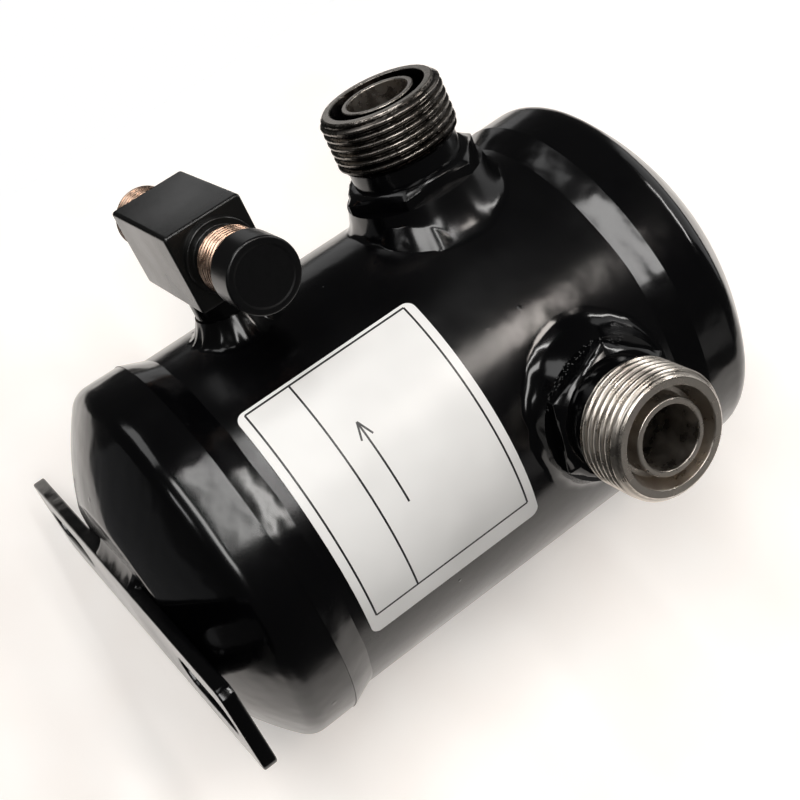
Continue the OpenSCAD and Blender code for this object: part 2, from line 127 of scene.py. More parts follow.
def softCorners(corners, radius, closed=True, steps=5, guard=0.12, mostArc=0.42, mostGuard=0.05):
    # each corner becomes a small arc (a quadratic curve from edge to edge), with a guard point on both
    # edges so that the flats next to it keep a flat shading; arc and guard take at most a share of an edge
    corners = np.asarray(corners, float)
    radii = np.broadcast_to(np.asarray(radius, float), len(corners))
    s = np.linspace(0, 1, steps + 1)[:, None]
    out = []
    for k, corner in enumerate(corners):
        if not closed and k in (0, len(corners) - 1):
            out.append(corner[None])
            continue
        before, after = corner - corners[k - 1], corners[(k + 1) % len(corners)] - corner
        lenB, lenA = np.linalg.norm(before), np.linalg.norm(after)
        before, after = before / lenB, after / lenA
        turn = np.arccos(np.clip(before @ after, -1, 1))
        reach = min(radii[k] * np.tan(turn / 2), mostArc * lenB, mostArc * lenA)
        start, end = corner - before * reach, corner + after * reach
        arc = (1 - s) ** 2 * start + 2 * s * (1 - s) * corner + s ** 2 * end
        guardB = start - before * min(guard, mostGuard * lenB)
        guardA = end + after * min(guard, mostGuard * lenA)
        out += [guardB[None], arc, guardA[None]]
    return np.concatenate(out)


def polar(r, a, z):
    # points at radius r, angle a and height z
    return np.stack(np.broadcast_arrays(r * np.cos(a), r * np.sin(a), z), -1)


def spin(profile, turns):
    # a profile of (radius, height) turned about the z axis: rows go round, columns go along the profile
    a = np.linspace(0, tau, turns, endpoint=False)[:, None]
    return polar(profile[None, :, 0], a, profile[None, :, 1])


def ballGrid(rows, cols):
    # a ball of radius one: rows of latitude, columns of longitude
    lat = np.linspace(-np.pi / 2, np.pi / 2, rows)[:, None]
    lon = np.linspace(0, tau, cols, endpoint=False)[None]
    return polar(np.cos(lat), lon, np.sin(lat))


# a piece's own sketch stands up +z: these lay it out of a port, turn it upside down or raise it
def toOutlet(p, height):
    return np.stack([-p[..., 2], p[..., 1], height + p[..., 0]], -1)


def toInlet(p, height):
    return np.stack([p[..., 0], -p[..., 2], height + p[..., 1]], -1)


def flipped(p, height):
    return np.stack([p[..., 0], p[..., 1], height - p[..., 2]], -1)


def lifted(p, height):
    return p + np.array([0, 0, height])


def smoothStep(x):
    x = np.clip(x, 0, 1)
    return x * x * (3 - 2 * x)


def bumps(a, seed, count, low, high):
    # a sum of a few sines round the circle with seeded waves and phases, about one unit high
    rng = np.random.default_rng(seed)
    waves, phases = rng.integers(low, high, count), rng.uniform(0, tau, count)
    return np.sin(a[..., None] * waves + phases).sum(-1) / np.sqrt(count)


print("helpers ready")

# sprayed gloss enamel on steel: deep black mirror with a faint orange peel over slightly wavy sheet,
# dust nibs under the paint, and a duller film in broad patches
enamelLook = dict(black="#030304", film="#070708", peelMm=2.4, peelDeep=0.00003, dullMm=38.0, nibMm=8.5,
                  nibDeep=0.00012, nibShare=0.2, waveMm=15.0, waveDeep=0.001, rough=0.13, ior=1.5)


def sprayedEnamel(name, look):
    material, tree, shader, place = newMaterial(name)
    dull = addNode(tree, "ShaderNodeTexNoise",
                   {"Vector": place, "Scale": 1000 / look["dullMm"], "Detail": 4.0})
    tone = addNode(tree, "ShaderNodeValToRGB", {"Fac": dull.outputs["Fac"]},
                   stops=[(0.35, look["black"]), (0.72, look["film"])])
    tree.links.new(tone.outputs["Color"], shader.inputs["Base Color"])
    patchy = addNode(tree, "ShaderNodeMapRange",
                     {"Value": dull.outputs["Fac"], "From Min": 0.3, "From Max": 0.75,
                      "To Min": look["rough"] * 0.8, "To Max": look["rough"] * 1.8})
    tree.links.new(patchy.outputs["Result"], shader.inputs["Roughness"])
    cells = addNode(tree, "ShaderNodeTexVoronoi", {"Vector": place, "Scale": 1000 / look["nibMm"]})
    knob = addNode(tree, "ShaderNodeMapRange",
                   {"Value": cells.outputs["Distance"], "From Min": 0.0, "From Max": 0.12,
                    "To Min": 1.0, "To Max": 0.0}, interpolation_type="SMOOTHSTEP")
    pick = addNode(tree, "ShaderNodeSeparateColor", {"Color": cells.outputs["Color"]})
    rare = addNode(tree, "ShaderNodeMath", {0: pick.outputs["Red"], 1: look["nibShare"]},
                   operation="LESS_THAN")
    nib = addNode(tree, "ShaderNodeMath", {0: knob.outputs["Result"], 1: rare.outputs[0]},
                  operation="MULTIPLY")
    peel = addNode(tree, "ShaderNodeTexNoise",
                   {"Vector": place, "Scale": 1000 / look["peelMm"], "Detail": 1.0})
    wave = addNode(tree, "ShaderNodeTexNoise",
                   {"Vector": place, "Scale": 1000 / look["waveMm"], "Detail": 2.0})
    sheet = addNode(tree, "ShaderNodeBump",
                    {"Height": wave.outputs["Fac"], "Strength": 0.5, "Distance": look["waveDeep"]})
    skin = addNode(tree, "ShaderNodeBump",
                   {"Height": peel.outputs["Fac"], "Strength": 0.5, "Distance": look["peelDeep"],
                    "Normal": sheet.outputs["Normal"]})
    dust = addNode(tree, "ShaderNodeBump",
                   {"Height": nib.outputs[0], "Strength": 0.6, "Distance": look["nibDeep"],
                    "Normal": skin.outputs["Normal"]})
    tree.links.new(dust.outputs["Normal"], shader.inputs["Normal"])
    shader.inputs["IOR"].default_value = look["ior"]
    return material


# turned mild steel, bare: warm grey, fine tool rings, and a brown-black colour mixed in as painted shade in
# the thread roots and towards the hex
steelLook = dict(bright="#c2bbb3", worn="#a39b93", film="#120e0c", ringMm=0.35, ringDeep=0.00004,
                 blotchMm=2.6, rough=0.24)


def turnedSteel(name, look):
    material, tree, shader, place = newMaterial(name)
    blotch = addNode(tree, "ShaderNodeTexNoise",
                     {"Vector": place, "Scale": 1000 / look["blotchMm"], "Detail": 4.0, "Roughness": 0.55})
    metal = addNode(tree, "ShaderNodeValToRGB", {"Fac": blotch.outputs["Fac"]},
                    stops=[(0.3, look["worn"]), (0.62, look["bright"])])
    # the film mark blends in the brown-black colour as painted shade, with random stain blotches added
    depth = addNode(tree, "ShaderNodeAttribute", attribute_name="film").outputs["Fac"]
    stain = addNode(tree, "ShaderNodeMath", {0: blotch.outputs["Fac"], 1: 0.6, 2: -0.3},
                    operation="MULTIPLY_ADD")
    amount = addNode(tree, "ShaderNodeMath", {0: depth, 1: stain.outputs[0]}, operation="ADD", use_clamp=True)
    mix = addNode(tree, "ShaderNodeMix", {"Factor": amount.outputs[0], "A": metal.outputs["Color"],
                                          "B": linear(look["film"])}, data_type="RGBA")
    tree.links.new(mix.outputs["Result"], shader.inputs["Base Color"])
    shader.inputs["Metallic"].default_value = 1.0
    rough = addNode(tree, "ShaderNodeMapRange",
                    {"Value": blotch.outputs["Fac"], "From Min": 0.25, "From Max": 0.75,
                     "To Min": look["rough"] * 0.7, "To Max": look["rough"] * 1.6})
    tree.links.new(rough.outputs["Result"], shader.inputs["Roughness"])
    rings = addNode(tree, "ShaderNodeAttribute", attribute_name="along").outputs["Fac"]
    wave = addNode(tree, "ShaderNodeMath", {0: rings, 1: tau / look["ringMm"]}, operation="MULTIPLY")
    tool = addNode(tree, "ShaderNodeMath", {0: wave.outputs[0]}, operation="SINE")
    height = addNode(tree, "ShaderNodeMath", {0: blotch.outputs["Fac"], 1: 1.0, 2: tool.outputs[0]},
                     operation="MULTIPLY_ADD")
    bump = addNode(tree, "ShaderNodeBump",
                   {"Height": height.outputs[0], "Strength": 0.15, "Distance": look["ringDeep"]})
    tree.links.new(bump.outputs["Normal"], shader.inputs["Normal"])
    return material


# plain sheet and turned parts inside the vessel: even metal with rolling or tool streaks
def plainMetal(name, light, dark, rough, streakMm):
    material, tree, shader, place = newMaterial(name)
    stretch = addNode(tree, "ShaderNodeMapping", {"Vector": place, "Scale": (1.0, 1.0, 0.15)})
    streak = addNode(tree, "ShaderNodeTexNoise",
                     {"Vector": stretch.outputs[0], "Scale": 1000 / streakMm, "Detail": 4.0})
    tone = addNode(tree, "ShaderNodeValToRGB", {"Fac": streak.outputs["Fac"]},
                   stops=[(0.3, dark), (0.7, light)])
    tree.links.new(tone.outputs["Color"], shader.inputs["Base Color"])
    shader.inputs["Metallic"].default_value = 1.0
    shader.inputs["Roughness"].default_value = rough
    bump = addNode(tree, "ShaderNodeBump",
                   {"Height": streak.outputs["Fac"], "Strength": 0.1, "Distance": 0.00005})
    tree.links.new(bump.outputs["Normal"], shader.inputs["Normal"])
    return material


# moulded soft PVC: black, satin, with a fine mould grain in two near blacks
def mouldedPvc(name, grainMm=0.6):
    material, tree, shader, place = newMaterial(name)
    grain = addNode(tree, "ShaderNodeTexNoise", {"Vector": place, "Scale": 1000 / grainMm, "Detail": 3.0})
    tone = addNode(tree, "ShaderNodeValToRGB", {"Fac": grain.outputs["Fac"]},
                   stops=[(0.3, "#040405"), (0.7, "#0a0a0b")])
    tree.links.new(tone.outputs["Color"], shader.inputs["Base Color"])
    shader.inputs["Roughness"].default_value = 0.3
    bump = addNode(tree, "ShaderNodeBump",
                   {"Height": grain.outputs["Fac"], "Strength": 0.15, "Distance": 0.00005})
    tree.links.new(bump.outputs["Normal"], shader.inputs["Normal"])
    return material


# printed polyester film: white, half gloss, with a soft cloud where the adhesive lies unevenly
def printedFilm(name, light, shade, cloudMm=22.0):
    material, tree, shader, place = newMaterial(name)
    cloud = addNode(tree, "ShaderNodeTexNoise", {"Vector": place, "Scale": 1000 / cloudMm, "Detail": 2.0})
    tone = addNode(tree, "ShaderNodeValToRGB", {"Fac": cloud.outputs["Fac"]},
                   stops=[(0.35, light), (0.75, shade)])
    tree.links.new(tone.outputs["Color"], shader.inputs["Base Color"])
    shader.inputs["Roughness"].default_value = 0.3
    bump = addNode(tree, "ShaderNodeBump",
                   {"Height": cloud.outputs["Fac"], "Strength": 0.25, "Distance": 0.0002})
    tree.links.new(bump.outputs["Normal"], shader.inputs["Normal"])
    return material


enamel = sprayedEnamel("blackGlossEnamelSprayed", enamelLook)
enamelShell = sprayedEnamel("blackGlossEnamelOnShell", dict(
    enamelLook, peelMm=4.0, peelDeep=0.00005, rough=0.165, waveDeep=0.0005, nibMm=6.0, nibDeep=0.0002,
    nibShare=0.3))
enamelWeld = sprayedEnamel("blackGlossEnamelOnWeld", dict(
    enamelLook, peelMm=3.2, peelDeep=0.00006, rough=0.12, nibShare=0.3))
enamelBar = sprayedEnamel("blackSatinEnamelOnBar", dict(
    enamelLook, peelMm=1.2, peelDeep=0.00004, rough=0.2, black="#090909", film="#111110", nibShare=0.1,
    waveDeep=0.0001))
steel = turnedSteel("turnedSteelBare", steelLook)
# wiped steel is brighter and less blotched, copper-flashed steel is pinkish brown
steelClean = turnedSteel("turnedSteelBareWiped", dict(
    steelLook, bright="#d2cbc2", worn="#b3aba2", blotchMm=4.0, rough=0.27, ringDeep=0.00006))
copper = turnedSteel("turnedSteelCopperFlashed", dict(
    steelLook, bright="#bfa491", worn="#94735f", film="#17100c", ringDeep=0.00001, blotchMm=2.0))
# sheet steel is dull grey, brass yellow, the pin and needle a brighter grey
sheetSteel = plainMetal("pressedSheetSteel", "#a9a8a4", "#8d8c88", 0.35, 6.0)
valveBrass = plainMetal("turnedBrass", "#c9a75c", "#a98743", 0.28, 4.0)
innerSteel = plainMetal("turnedSteelInner", "#b4b3b0", "#8f8e8b", 0.3, 3.0)
softPvc = mouldedPvc("softPvcMoulded")
# the print is the same film under near-black ink
film = printedFilm("printedPolyesterFilm", "#f1f0ee", "#e6e5e3")
ink = printedFilm("printedInkBlack", "#161618", "#2c2c2e", 2.2)
print("materials ready")

# pressed caps
capMesh = dict(curveCols=26, discCols=8, discTo=0.98, skirtCols=10, innerCols=6, innerFrom=1.0)


def capProfile():
    # outside: flat crown, sphere of the crown radius, torus of the knuckle radius, a skirt drawn in
    # a hair at its rim; inside: the same less the wall
    v, q = vessel, capMesh
    k = v["knuckle"]
    ang = np.arcsin((v["capR"] - k) / (v["crownR"] - k))
    cz = v["dish"] + (v["crownR"] - k) * np.cos(ang)

    def side(wall):
        flat = np.arccos((cz - wall) / (v["crownR"] - wall))
        a = np.linspace(flat, ang, q["curveCols"])
        b = np.linspace(ang, np.pi / 2, q["curveCols"])[1:]
        crown = np.stack([(v["crownR"] - wall) * np.sin(a), cz - (v["crownR"] - wall) * np.cos(a)], 1)
        knee = np.stack([v["capR"] - k + (k - wall) * np.sin(b), v["dish"] - (k - wall) * np.cos(b)], 1)
        discR = crown[0, 0] * np.linspace(0, q["discTo"], q["discCols"])
        disc = np.stack([discR, np.full(q["discCols"], wall)], 1)
        return np.concatenate([disc, crown, knee])

    rim = v["dish"] + v["skirt"]
    lift = np.linspace(0, 1, q["skirtCols"])[1:]
    skirtOut = np.stack([v["capR"] - v["crimp"] * lift ** 2, v["dish"] + v["skirt"] * lift], 1)
    skirtIn = np.stack([np.full(q["innerCols"], v["capInR"]),
                        np.linspace(rim, v["dish"] + q["innerFrom"], q["innerCols"])], 1)
    return np.concatenate([side(0.0), skirtOut, skirtIn, side(v["wall"])[::-1]])


capGrid = spin(capProfile(), vessel["turns"])
makePiece("bottomCapPressing", [(lifted(capGrid, vessel["footT"]), True, False, 0)], [enamel], "vessel",
          ["bottom_cap"])
makePiece("topCapPressing", [(flipped(capGrid, vessel["topZ"]), True, False, 0)], [enamel], "vessel",
          ["top_cap"])

# seam welds, a ramp from each cap's rim to the tube
seam = dict(length=7.0, faceRows=26, backRows=6, soft=0.012, swell=0.035, swellWaves=(6, 7, 40), wander=0.5,
            wanderMid=0.5, wanderPart=0.35, wanderWaves=(5, 3, 22), lowSeed=3, highSeed=8)


def seamGrid(seed):
    # the ramp is straight with a soft shoulder and toe; its toe wanders a little and its face swells a little
    v, q = vessel, seam
    a = np.linspace(0, tau, v["turns"], endpoint=False)[:, None]
    s = np.linspace(0, 1, q["faceRows"])[None]
    width = v["capR"] - v["tubeR"]
    ramp = 1 - s + q["soft"] * np.sin(tau * s)
    swell = q["swell"] * bumps(a, seed, *q["swellWaves"]) * np.sin(np.pi * s) ** 2
    drift = q["wanderMid"] + q["wanderPart"] * bumps(a, seed + 1, *q["wanderWaves"])
    length = q["length"] - q["wander"] * drift.clip(0, 1)
    r = v["tubeR"] + width * ramp + swell
    z = s * length
    back = np.linspace(1, 0, q["backRows"])[None, 1:-1]
    r = np.concatenate([r, np.full((v["turns"], q["backRows"] - 2), v["tubeR"])], 1)
    z = np.concatenate([z, back * length], 1)
    return polar(r, a, z)


makePiece("bottomSeamBead", [(lifted(seamGrid(seam["lowSeed"]), vessel["rimLo"]), True, True, 0)],
          [enamelWeld], "vessel", ["bottom_seam_weld"])
makePiece("topSeamBead", [(flipped(seamGrid(seam["highSeed"]), vessel["rimHi"]), True, True, 0)],
          [enamelWeld], "vessel", ["top_seam_weld"])
print("caps and seams ready")

# foot strap, a flat bar with a slot at each end
strap = dict(length=138.0, width=24.0, thick=3.5, corner=3.0, span=98.0, slotL=30.0, slotW=9.0, edge=0.5,
             cols=7, edgeCols=5, arcRows=9, slotRows=7, midHalf=28.0, midRows=15, near=1e-5)


def edgeRing(loop, outward):
    # from the top face over a quarter round, down the wall and round to the bottom face
    e, t = strap["edge"], strap["thick"]
    q = np.linspace(0, np.pi / 2, strap["edgeCols"])
    push = e * np.concatenate([np.sin(q), np.sin(q)[::-1]])
    z = np.concatenate([t - e + e * np.cos(q), e - e * np.cos(q)[::-1]])
    xy = loop[:, None] + outward[:, None] * push[None, :, None]
    return np.concatenate([xy, np.broadcast_to(z[None, :, None], xy.shape[:2] + (1,))], 2)


def away(points, core):
    # the way out of a rounded box: from the nearest point of its core
    way = points - np.clip(points, -core, core)
    return way / np.linalg.norm(way, axis=1, keepdims=True)


def strapPatches():
    # rows run along the strap; in each row the two halves span from the slot's side to the strap's side
    q = strap
    e = q["edge"]
    core = np.array([q["width"], q["length"]]) / 2 - q["corner"]
    cornerR, slotR, slotHalf = q["corner"] - e, q["slotW"] / 2 + e, (q["slotL"] - q["slotW"]) / 2
    t = np.linspace(0, np.pi / 2, q["arcRows"])
    cornerRows = core[1] + cornerR * np.sin(t)
    slotEnd = slotHalf + slotR * np.sin(t)
    slotMid = np.linspace(-slotHalf, slotHalf, q["slotRows"])
    slotRows = np.concatenate([-slotEnd, slotMid, slotEnd]) + q["span"] / 2
    middle = np.linspace(-q["midHalf"], q["midHalf"], q["midRows"])
    y = np.unique(np.concatenate([-cornerRows, -slotRows, middle, slotRows, cornerRows]).round(decimals=6))
    past = np.clip(np.abs(y) - core[1], 0, cornerR)
    outer = core[0] + np.sqrt(np.clip(cornerR ** 2 - past ** 2, 0, None))
    off = np.abs(np.abs(y) - q["span"] / 2)
    inner = np.sqrt(np.clip(slotR ** 2 - np.clip(off - slotHalf, 0, None) ** 2, 0, None))
    s = np.linspace(0, 1, q["cols"])
    x = inner[:, None] + (outer - inner)[:, None] * s
    patches = []
    for z in (q["thick"], 0.0):
        for side in (1, -1):
            patches.append((np.stack([side * x, y[:, None] + 0 * x, z + 0 * x], 2), False, False, 0))
    endX = outer[-1] * np.concatenate([s[::-1][1:], -s[1:-1]])
    ends = [np.stack([way * endX, np.full(len(endX), way * y[-1])], 1) for way in (1, -1)]
    right, left = np.stack([outer, y], 1), np.stack([-outer, y], 1)[::-1]
    loop = np.concatenate([right, ends[0], left, ends[1]])
    patches.append((edgeRing(loop, away(loop, core)), True, False, 0))
    for side in (1, -1):
        mid = np.array([0, side * q["span"] / 2])
        rows = np.abs(y - mid[1]) <= slotHalf + slotR + q["near"]
        right = np.stack([inner[rows], y[rows]], 1)
        left = (right * [-1, 1])[::-1][1:-1]
        loop = np.concatenate([right, left])
        patches.append((edgeRing(loop, -away(loop - mid, np.array([0, slotHalf]))), True, False, 0))
    return patches


makePiece("footStrapBar", strapPatches(), [enamel], "vessel", ["foot_strap"])

# fillet beads along the strap's long edges, under the flat crown
footWeld = dict(length=28.0, leg=3.0, hollow=0.34, pitches=(8.7, 5.1), leans=(1.3, 0.8), shortPart=0.6,
                ripple=0.012, endL=3.0, rows=160, cols=13)


def footBead(side):
    # a hollow section (a quadratic curve from cap to strap) drawn along the edge, lumpy in two wave lengths,
    # round at both ends
    q = footWeld
    half = q["length"] / 2
    y = np.linspace(-half, half, q["rows"])[:, None]
    s = np.linspace(0, 1, q["cols"])[None]
    fade = np.sqrt(np.clip(1 - (np.clip(np.abs(y) - half + q["endL"], 0, None) / q["endL"]) ** 2, 0, None))
    (long, short), (leanL, leanS) = q["pitches"], q["leans"]
    lumps = np.sin(tau * y / long + leanL * s) + q["shortPart"] * np.sin(tau * y / short - leanS * s + side)
    crest = q["ripple"] * lumps * np.sin(np.pi * s)
    out = (1 - s) ** 2 * q["leg"] + 2 * s * (1 - s) * q["hollow"] * q["leg"] + crest
    down = s ** 2 * q["leg"] + 2 * s * (1 - s) * q["hollow"] * q["leg"] + crest
    out = np.concatenate([out, 0 * y], 1) * fade
    down = np.concatenate([down, 0 * y], 1) * fade
    return np.stack([side * (strap["width"] / 2 + out), y + 0 * out, strap["thick"] - down], 2)


makePiece("footWeldBeads", [(footBead(side), False, True, 0) for side in (1, -1)], [enamelWeld], "vessel",
          ["foot_welds"])
print("foot ready")

# unions: threaded nose, grooved face, bore and hex
union = dict(threadR=15.875, threadL=15.0, pitch=2.117, depth=1.05, chamfer=1.6, reliefR=14.2, reliefL=4.4,
             hexAf=32.0, hexH=4.6, bore=7.95, ring=9.4, grooveR=12.45, grooveFloor=11.0, grooveDepth=6.0,
             ringSet=0.3, spigotR=13.0, gripR=11.15, spigotIn=43.0, grip=4.0, hexStep=0.5, backRound=0.3,
             faceRound=0.35, noseGap=0.35, nickDrift=0.21, nickWaves=(7, 5, 60), turns=192, rowsPerPitch=16)
hexMesh = dict(cornerR=0.7, cornerCols=6, split=4, inset=0.4, coneIn=0.6, coneSlope=1.55, wallFrom=0.15,
               wallTo=2.4, wallRows=4, coneFrom=2.2, coneRows=14)
# painted shade on the unions' steel: its amounts, where each starts and over how far it grows to the full
# amount
unionShade = dict(root=0.4, rootFrom=0.5, rootOver=0.4, hex=0.5, hexFrom=10.0, hexOver=5.0, edge=0.01,
               grooveFrom=0.15, grooveOver=1.0, boreFrom=0.1)


def helix(z, a, pitch, depth, flatShare=0.3, rootPart=0.4):
    # right-hand thread: the tooth is a triangle wave of height over pitch less one turn, flattened at crest
    # and root by a share of its height, of which the root has its own part
    phase = z / pitch - a / tau
    tooth = 1 - np.abs(2 * (phase - np.floor(phase)) - 1)
    return -depth * (1 - smoothStep((tooth - flatShare * rootPart) / (1 - flatShare)))


def hexGrid(turn, hexLow, hexTop):
    # a six-sided outline with small corner arcs, cut back by the chamfer cone near its outer face
    u, q = union, hexMesh
    s = np.arange(6) * tau / 6 + np.radians(turn)
    hexR = u["hexAf"] / 2 / np.cos(np.pi / 6)
    outline = softCorners(polar(hexR, s, 0.0)[:, :2], q["cornerR"], steps=q["cornerCols"])
    ahead = np.roll(outline, -1, 0)
    share = np.arange(q["split"])[None, :, None] / q["split"]
    fine = (outline[:, None] + (ahead - outline)[:, None] * share).reshape(-1, 2)
    coneR = u["hexAf"] / 2 - q["coneIn"]
    wallRows = np.linspace(hexLow + q["wallFrom"], hexTop - q["wallTo"], q["wallRows"])
    coneRows = np.linspace(hexTop - q["coneFrom"], hexTop, q["coneRows"])
    levels = np.concatenate([[hexLow], wallRows, coneRows])
    limit = coneR + (hexTop - levels) * q["coneSlope"]
    length = np.hypot(fine[:, 0], fine[:, 1])
    wall = fine[:, None] * np.minimum(1, limit[None, :] / length[:, None])[..., None]
    wall = np.concatenate([wall, np.broadcast_to(levels[None, :, None], wall.shape[:2] + (1,))], 2)
    inner = fine / length[:, None] * (u["reliefR"] - q["inset"])
    low = np.concatenate([inner, np.full((len(fine), 1), hexLow)], 1)[:, None]
    top = np.concatenate([inner, np.full((len(fine), 1), hexTop)], 1)[:, None]
    return np.concatenate([low, wall, top, low], 1)


def unionGrids(reach, nicks, seed):
    # three outlines turned about the port's axis: spigot and relief, the nose whose radius follows the helix
    # between its two chamfers, and the face with groove, ring and bore
    u = union
    z0 = reach - u["threadL"]
    hexLow = z0 - u["reliefL"] - u["hexH"]
    step = hexLow + u["hexStep"]
    back = softCorners([[u["spigotR"], u["spigotIn"]], [u["spigotR"], step], [u["reliefR"], step],
                        [u["reliefR"], z0]], u["backRound"], closed=False)
    rim, gap = u["threadR"] - u["chamfer"], u["noseGap"]
    face = softCorners([[rim + gap, reach - gap], [rim, reach], [u["grooveR"], reach],
                        [u["grooveFloor"], reach - u["grooveDepth"]], [u["ring"], reach - u["grooveDepth"]],
                        [u["ring"], reach - u["ringSet"]], [u["bore"], reach - u["ringSet"]],
                        [u["bore"], u["spigotIn"] - u["grip"]], [u["gripR"], u["spigotIn"] - u["grip"]],
                        [u["gripR"], u["spigotIn"]], [u["spigotR"], u["spigotIn"]]], u["faceRound"],
                       closed=False)
    a = np.linspace(0, tau, u["turns"], endpoint=False)[:, None]
    z = np.linspace(z0, reach - gap, int(u["threadL"] / u["pitch"] * u["rowsPerPitch"]))[None]
    # the crests are a little nicked: shallow dips that drift from turn to turn
    nick = nicks * np.clip(bumps(a + u["nickDrift"] * z, seed, *u["nickWaves"]), 0, None)
    cut = np.minimum(u["reliefR"] + (z - z0), rim + (reach - z))
    r = np.minimum(u["threadR"] - nick + helix(z, a, u["pitch"], u["depth"]), cut)
    return [spin(back, u["turns"]), polar(r, a, z), spin(face, u["turns"])]


def makeUnion(name, node, place, look):
    # the film mark is painted shade: how far the steel darkens in the thread roots, towards the hex,
    # in the groove and in the bore, on top of an even darkening of the whole thread
    u, o, reach = union, unionShade, look["reach"]
    back, nose, face = unionGrids(reach, look["nicks"], look["seed"])
    hexTop = reach - u["threadL"] - u["reliefL"]
    nut = hexGrid(look["turn"], hexTop - u["hexH"], hexTop)
    root = (u["threadR"] - np.hypot(nose[..., 0], nose[..., 1])) / u["depth"]
    noseShade = look["oil"] + o["root"] * smoothStep((root - o["rootFrom"]) / o["rootOver"])
    noseShade += o["hex"] * smoothStep((reach - nose[..., 2] - o["hexFrom"]) / o["hexOver"])
    faceR, sunk = np.hypot(face[..., 0], face[..., 1]), reach - face[..., 2]
    inGroove = (faceR > u["ring"] - o["edge"]) & (faceR < u["grooveR"])
    inGroove &= (sunk > o["grooveFrom"]) & (sunk < u["grooveDepth"] + o["grooveOver"])
    inBore = (faceR < u["bore"] + o["edge"]) & (sunk > u["ringSet"] + o["boreFrom"])
    recessShade = np.where(inGroove, look["groove"], np.where(inBore, look["bore"], 0.0))
    grids = [back, nose, face, nut]
    shadeMarks = [np.ones(back.shape[:2]), noseShade, recessShade, np.zeros(nut.shape[:2])]
    marks = dict(along=np.concatenate([(reach - g[..., 2]).ravel() for g in grids]),
                 film=np.concatenate([f.ravel() for f in shadeMarks]))
    patches = [(place(g, vessel["portZ"]), True, False, m) for g, m in zip(grids, (0, 1, 1, 0))]
    return makePiece(name, patches, [enamelWeld, look["metal"]], "vessel", [node],
                     sharpAngle=40, marks=marks)


# oil darkens a union's whole thread evenly; groove and bore darken its groove and bore as painted shade
unionLooks = dict(outlet=dict(reach=78.5, turn=55, oil=0.5, groove=1.0, bore=0.0, nicks=0.05, seed=31,
                              metal=steel),
                  inlet=dict(reach=76.0, turn=50, oil=0.02, groove=0.06, bore=0.0, nicks=0.004, seed=32,
                             metal=steelClean))
makeUnion("outletUnion", "outlet_fitting", toOutlet, unionLooks["outlet"])
makeUnion("inletUnion", "inlet_fitting", toInlet, unionLooks["inlet"])
print("unions ready")

# fillet welds round the unions and the neck
fillets = dict(outlet=dict(reach=54.5, rIn=13.0, rTop=18.2, toe=21.25, side=2.7, seed=5, hollow=2.7,
                           lapAt=230.0, lapHalf=20.0, lapFlat=0.6, lapDrop=2.2, lapSlope=1.38, pitAt=226.0,
                           pitR=21.3, pitSize=0.9, pitDeep=0.2),
               inlet=dict(reach=52.0, rIn=13.0, rTop=18.2, toe=21.25, side=2.7, seed=6, hollow=2.7),
               neck=dict(reach=54.0, rIn=8.0, rTop=8.4, toe=12.5, side=0.8, seed=7, hollow=2.1))
filletMesh = dict(turns=192, rows=30, under=8, sunk=0.02, toeWander=0.22, toeWaves=(6, 3, 24), ripple=0.035,
                  rippleWaves=(5, 6, 30), rippleSeed=20)


def filletGrid(look, acrossRow):
    # round the port the toe lies on the tube, the top on a circle; between them a hollow curve that
    # runs out along the tube, then back under it
    q = filletMesh
    a = np.linspace(0, tau, q["turns"], endpoint=False)
    across = np.abs(np.sin(a)) if acrossRow == 1 else np.abs(np.cos(a))
    toe = look["toe"] + look["side"] * across ** 2 + q["toeWander"] * bumps(a, look["seed"], *q["toeWaves"])
    u = np.linspace(0, 1, q["rows"])[None]
    r = look["rTop"] + (toe[:, None] - look["rTop"]) * u
    shell = np.sqrt(vessel["tubeR"] ** 2 - (r * across[:, None]) ** 2)
    hollow = shell + (look["reach"] - shell[:, :1]) * (1 - u) ** look["hollow"]
    lumps = bumps(a, look["seed"] + q["rippleSeed"], *q["rippleWaves"])[:, None]
    ripple = q["ripple"] * lumps * np.sin(np.pi * u) ** 2
    face = np.maximum(hollow + ripple, shell)
    if "lapAt" in look:
        # the last run lies flat from the toe up, with a small pit in it
        off = np.degrees(np.angle(np.exp(1j * (a - np.radians(look["lapAt"])))))[:, None]
        fall = look["lapDrop"] * smoothStep(np.abs(off) / look["lapHalf"] - look["lapFlat"])
        lap = shell[:, -1:] + look["lapSlope"] * (toe[:, None] - r) - fall
        pitX, pitY = (look["pitR"] * f(np.radians(look["pitAt"])) for f in (np.cos, np.sin))
        gap = np.hypot(r * np.cos(a)[:, None] - pitX, r * np.sin(a)[:, None] - pitY)
        face = np.maximum(face, lap - look["pitDeep"] * np.exp(-(gap / look["pitSize"]) ** 2))
    inner = np.linspace(1, 0, q["under"])[None]
    rUnder = look["rIn"] + (toe[:, None] - look["rIn"]) * inner
    under = np.sqrt(vessel["tubeR"] ** 2 - (rUnder * across[:, None]) ** 2) - q["sunk"]
    r = np.concatenate([r, rUnder, np.full((q["turns"], 1), look["rIn"])], 1)
    z = np.concatenate([face, under, np.full((q["turns"], 1), look["reach"])], 1)
    return polar(r, a[:, None], z)


makePiece("outletFillet", [(toOutlet(filletGrid(fillets["outlet"], 1), vessel["portZ"]), True, True, 0)],
          [enamelWeld], "vessel", ["outlet_weld"])

# weld spatter under the paint, beside the inlet's hex: small balls half sunk in the fillet
spatter = dict(count=110, fromDeg=140.0, toDeg=238.0, near=16.3, far=18.5, least=0.12, most=0.36, seed=41,
               lat=7, lon=10)


def spatterBalls(height):
    # a ball's grid of latitudes and longitudes, sized and put on random points of the fillet's top ledge
    q = spatter
    rng = np.random.default_rng(q["seed"])
    a = np.radians(rng.uniform(q["fromDeg"], q["toDeg"], q["count"]))
    r = rng.uniform(q["near"], q["far"], q["count"])
    place = polar(r, a, height)
    size = rng.uniform(q["least"], q["most"], q["count"])
    ball = ballGrid(q["lat"], q["lon"])
    return [centre + radius * ball for centre, radius in zip(place, size)]


